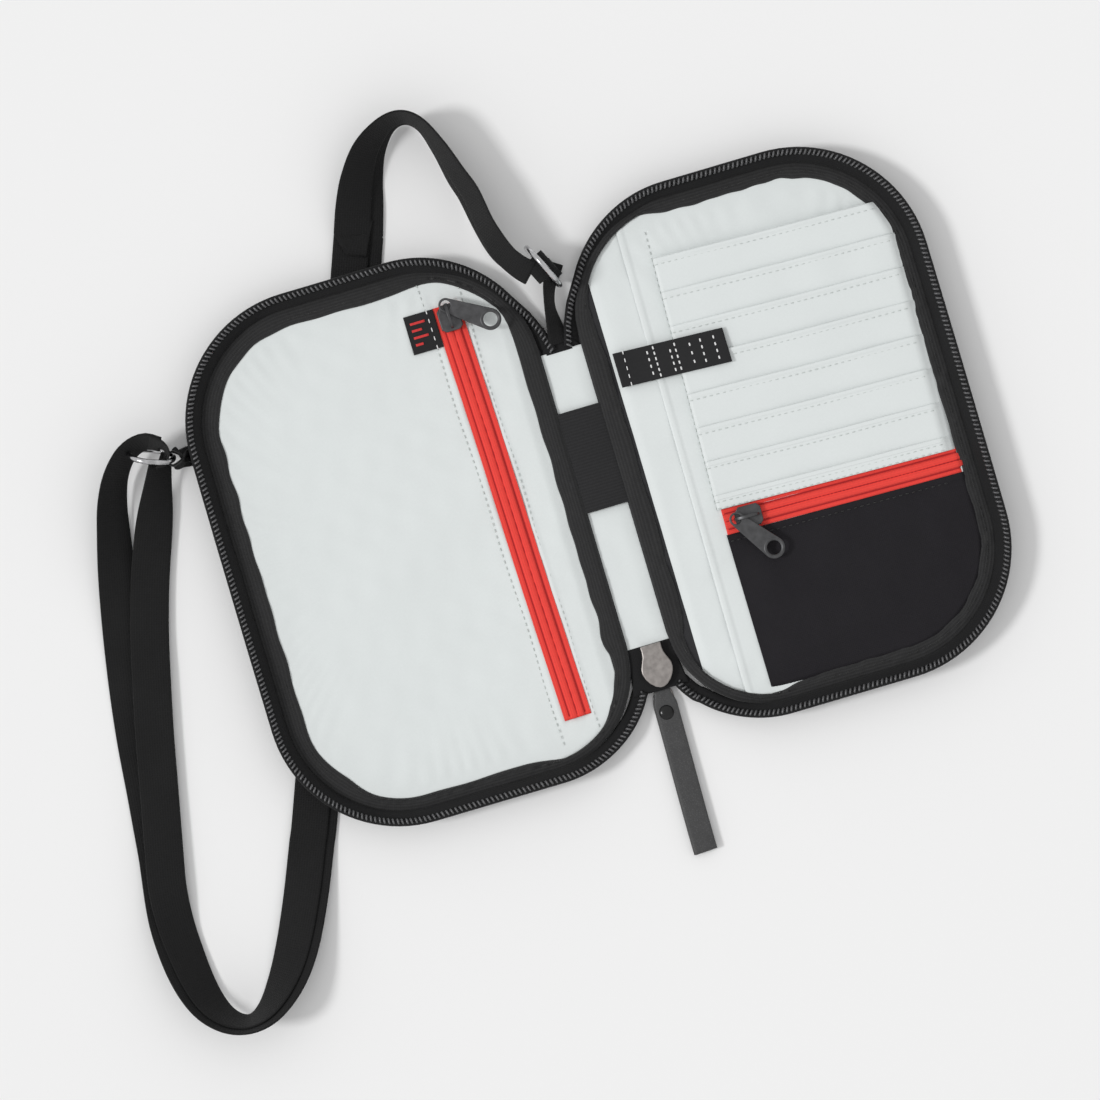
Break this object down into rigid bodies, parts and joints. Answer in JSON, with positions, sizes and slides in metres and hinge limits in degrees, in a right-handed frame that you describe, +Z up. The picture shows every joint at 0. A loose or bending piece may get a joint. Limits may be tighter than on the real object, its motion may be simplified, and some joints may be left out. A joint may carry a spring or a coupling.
{
  "type": "neck pouch wallet",
  "caption": "Zip-around travel neck pouch lying open, with card pockets, two zipped inner pockets, a pen loop, and a flat neck strap on two rings.",
  "frame": {"origin": "underside of the spine panel, at its centre line", "axes": "+X across the open halves towards the card side, +Y along the spine towards the top strap ring, +Z up from the table"},
  "size_m": [0.3416, 0.3036, 0.0223],
  "materials": {
    "cover_fabric": "woven nylon",
    "foam": "soft foam sheet",
    "lining": "fine ripstop, slight sheen",
    "zip_black": "woven zip tape",
    "coil_black": "nylon coil",
    "binding": "ribbed binding tape",
    "zip_red": "red zip tape",
    "gunmetal": "satin gunmetal",
    "label": "woven label",
    "webbing": "plain woven strap",
    "elastic": "ribbed elastic",
    "pocket_black": "woven polyester",
    "slider_metal": "satin grey",
    "leather": "pebbled",
    "rivet": "gloss black",
    "nickel": "polished",
    "black_plastic": "moulded"
  },
  "bodies": {
    "left_half": {"back_cover": "cover_fabric", "back_foam": "foam", "left_lining": "lining", "left_zip_tape": "zip_black", "left_zip_chain": "coil_black", "left_binding": "binding", "left_pocket_panel": "lining", "left_pocket_tape": "zip_red", "left_pocket_coil": "zip_red", "left_pocket_stops": "gunmetal", "shield_tag": "label", "side_tab": "webbing", "strap_upper_front": "webbing", "strap_upper_back": "webbing", "strap_lower_outer": "webbing", "strap_lower_inner": "webbing", "top_tab": "webbing", "strap_adjuster": "black_plastic"},
    "spine": {"spine_cover": "cover_fabric", "spine_lining": "lining", "spine_bindings": "binding", "pen_loop": "elastic", "zip_top_ends": "coil_black", "zip_bottom_ends": "coil_black", "main_slider": "slider_metal"},
    "main_pull": {"pull_bail": "slider_metal", "leather_pull": "leather", "pull_rivet": "rivet"},
    "right_half": {"front_cover": "cover_fabric", "front_foam": "foam", "right_lining": "lining", "right_zip_tape": "zip_black", "right_zip_chain": "coil_black", "right_binding": "binding", "slip_panel": "lining", "card_slot_1": "lining", "card_slot_2": "lining", "card_slot_3": "lining", "card_slot_4": "lining", "card_slot_5": "lining", "card_slot_6": "lining", "card_slot_7": "lining", "card_slot_8": "lining", "right_pocket_tape": "zip_red", "right_pocket_coil": "zip_red", "right_pocket_stops": "gunmetal", "zip_pocket_panel": "pocket_black", "care_label": "label"},
    "left_slider": {"left_slider": "gunmetal"},
    "left_puller": {"left_puller": "gunmetal"},
    "right_slider": {"right_slider": "gunmetal"},
    "right_puller": {"right_puller": "gunmetal"},
    "side_ring": {"side_ring": "nickel", "strap_turn": "webbing"},
    "top_ring": {"top_ring": "nickel", "strap_sewn_end": "webbing"}
  },
  "joints": [
    {"name": "spine_fold", "type": "hinge", "parent": "left_half", "child": "spine", "pos_m": [-0.012, 0, 0], "axis": [0, -1, 0], "range_deg": [0, 90]},
    {"name": "front_fold", "type": "hinge", "parent": "spine", "child": "right_half", "pos_m": [0.012, 0, 0], "axis": [0, -1, 0], "range_deg": [0, 90]},
    {"name": "main_pull_lift", "type": "hinge", "parent": "spine", "child": "main_pull", "pos_m": [0.0006, -0.0776, 0.0015], "axis": [-1, 0, 0], "range_deg": [0, 20]},
    {"name": "left_zip_slide", "type": "slide", "parent": "left_half", "child": "left_slider", "axis": [0.0227, -0.9997, 0], "range_m": [0, 0.12]},
    {"name": "left_puller_swing", "type": "hinge", "parent": "left_slider", "child": "left_puller", "pos_m": [-0.0355, 0.0781, 0.0095], "axis": [0, 0, 1], "range_deg": [-28, 3]},
    {"name": "right_zip_slide", "type": "slide", "parent": "right_half", "child": "right_slider", "axis": [0.9997, -0.0244, 0], "range_m": [0, 0.07]},
    {"name": "right_puller_swing", "type": "hinge", "parent": "right_slider", "child": "right_puller", "pos_m": [0.0434, -0.02599, 0.0095], "axis": [0, 0, 1], "range_deg": [-80, 22]},
    {"name": "side_ring_swing", "type": "hinge", "parent": "left_half", "child": "side_ring", "pos_m": [-0.1455, 0.0528, 0.01], "axis": [0, 0, 1], "range_deg": [-12, 12]},
    {"name": "top_ring_swing", "type": "hinge", "parent": "left_half", "child": "top_ring", "pos_m": [0.0023, 0.0813, 0.0027], "axis": [0.4305, -0.9026, 0], "range_deg": [-10, 10]}
  ],
  "couplings": [
    {"joint": "front_fold", "follows": "spine_fold", "ratio": 1}
  ]
}
